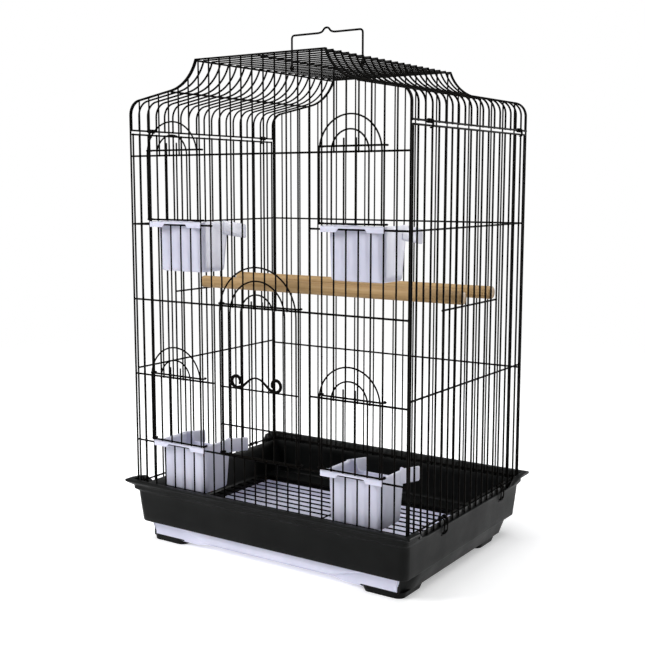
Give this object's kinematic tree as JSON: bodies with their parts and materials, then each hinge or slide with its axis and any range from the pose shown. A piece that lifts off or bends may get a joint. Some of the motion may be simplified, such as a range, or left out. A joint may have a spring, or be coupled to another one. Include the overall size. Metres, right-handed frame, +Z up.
{
  "type": "bird cage",
  "caption": "Table-top wire bird cage with a shaped roof, sliding doors, hung feeding cups, wooden perches and a base with a pull-out tray.",
  "frame": {"origin": "on the supporting surface, under the middle of the base", "axes": "+Z up, the front with the main door faces -Y, +X to the right for a person facing the front"},
  "size_m": [0.47, 0.3658, 0.7302],
  "materials": {
    "black_wire": "satin black coated steel wire",
    "black_plastic": "moulded black plastic with a soft sheen",
    "pale_plastic": "moulded pale lavender-white plastic",
    "beech": "plain sanded dowel"
  },
  "bodies": {
    "cage": {"base_tub": "black_plastic", "floor_grate": "black_wire", "front_panel": "black_wire", "back_panel": "black_wire", "left_panel": "black_wire", "right_panel": "black_wire", "roof_panel": "black_wire", "perch_front": "beech", "perch_rear": "beech"},
    "slide_tray": {"slide_tray": "pale_plastic"},
    "main_door": {"main_door": "black_wire", "door_scroll": "black_wire"},
    "carry_handle": {"carry_handle": "black_wire"},
    "feeder_door_lower_left": {"feeder_door_lower_left": "black_wire"},
    "feeder_door_lower_right": {"feeder_door_lower_right": "black_wire"},
    "feeder_door_upper_left": {"feeder_door_upper_left": "black_wire"},
    "feeder_door_upper_right": {"feeder_door_upper_right": "black_wire"},
    "feed_cup_lower_left": {"feed_cup_lower_left": "pale_plastic"},
    "feed_cup_lower_right": {"feed_cup_lower_right": "pale_plastic"},
    "feed_cup_upper_left": {"feed_cup_upper_left": "pale_plastic"},
    "feed_cup_upper_right": {"feed_cup_upper_right": "pale_plastic"},
    "base_clip_left_front": {"base_clip_left_front": "black_wire"},
    "base_clip_left_rear": {"base_clip_left_rear": "black_wire"},
    "base_clip_right_front": {"base_clip_right_front": "black_wire"},
    "base_clip_right_rear": {"base_clip_right_rear": "black_wire"},
    "roof_latch_left_front": {"roof_latch_left_front": "black_wire"},
    "roof_latch_left_rear": {"roof_latch_left_rear": "black_wire"},
    "roof_latch_right_front": {"roof_latch_right_front": "black_wire"},
    "roof_latch_right_rear": {"roof_latch_right_rear": "black_wire"}
  },
  "joints": [
    {"name": "tray_slide", "type": "slide", "parent": "cage", "child": "slide_tray", "axis": [0, -1, 0], "range_m": [0, 0.25]},
    {"name": "main_door_slide", "type": "slide", "parent": "cage", "child": "main_door", "axis": [0, 0, 1], "range_m": [0, 0.185]},
    {"name": "handle_swing", "type": "hinge", "parent": "cage", "child": "carry_handle", "pos_m": [0, -0.00876, 0.677], "axis": [1, 0, 0], "range_deg": [-78, 78]},
    {"name": "feeder_door_lower_left_slide", "type": "slide", "parent": "cage", "child": "feeder_door_lower_left", "axis": [0, 0, 1], "range_m": [0, 0.085]},
    {"name": "feeder_door_lower_right_slide", "type": "slide", "parent": "cage", "child": "feeder_door_lower_right", "axis": [0, 0, 1], "range_m": [0, 0.085]},
    {"name": "feeder_door_upper_left_slide", "type": "slide", "parent": "cage", "child": "feeder_door_upper_left", "axis": [0, 0, 1], "range_m": [0, 0.065]},
    {"name": "feeder_door_upper_right_slide", "type": "slide", "parent": "cage", "child": "feeder_door_upper_right", "axis": [0, 0, 1], "range_m": [0, 0.065]},
    {"name": "feed_cup_lower_left_lift", "type": "slide", "parent": "cage", "child": "feed_cup_lower_left", "axis": [0, 0, 1], "range_m": [0, 0.075]},
    {"name": "feed_cup_lower_right_lift", "type": "slide", "parent": "cage", "child": "feed_cup_lower_right", "axis": [0, 0, 1], "range_m": [0, 0.075]},
    {"name": "feed_cup_upper_left_lift", "type": "slide", "parent": "cage", "child": "feed_cup_upper_left", "axis": [0, 0, 1], "range_m": [0, 0.075]},
    {"name": "feed_cup_upper_right_lift", "type": "slide", "parent": "cage", "child": "feed_cup_upper_right", "axis": [0, 0, 1], "range_m": [0, 0.075]},
    {"name": "base_clip_left_front_turn", "type": "hinge", "parent": "cage", "child": "base_clip_left_front", "pos_m": [-0.2208, -0.07008, 0.0865], "axis": [0, 1, 0], "range_deg": [0, 75]},
    {"name": "base_clip_left_rear_turn", "type": "hinge", "parent": "cage", "child": "base_clip_left_rear", "pos_m": [-0.2208, 0.10512, 0.0865], "axis": [0, 1, 0], "range_deg": [0, 75]},
    {"name": "roof_latch_left_front_turn", "type": "hinge", "parent": "cage", "child": "roof_latch_left_front", "pos_m": [-0.2242, -0.12264, 0.5887], "axis": [0, 1, 0], "range_deg": [0, 100]},
    {"name": "roof_latch_left_rear_turn", "type": "hinge", "parent": "cage", "child": "roof_latch_left_rear", "pos_m": [-0.2242, 0.14016, 0.5887], "axis": [0, 1, 0], "range_deg": [0, 100]},
    {"name": "base_clip_right_front_turn", "type": "hinge", "parent": "cage", "child": "base_clip_right_front", "pos_m": [0.2208, -0.07008, 0.0865], "axis": [0, -1, 0], "range_deg": [0, 75]},
    {"name": "base_clip_right_rear_turn", "type": "hinge", "parent": "cage", "child": "base_clip_right_rear", "pos_m": [0.2208, 0.10512, 0.0865], "axis": [0, -1, 0], "range_deg": [0, 75]},
    {"name": "roof_latch_right_front_turn", "type": "hinge", "parent": "cage", "child": "roof_latch_right_front", "pos_m": [0.2242, -0.12264, 0.5887], "axis": [0, -1, 0], "range_deg": [0, 100]},
    {"name": "roof_latch_right_rear_turn", "type": "hinge", "parent": "cage", "child": "roof_latch_right_rear", "pos_m": [0.2242, 0.14016, 0.5887], "axis": [0, -1, 0], "range_deg": [0, 100]}
  ]
}
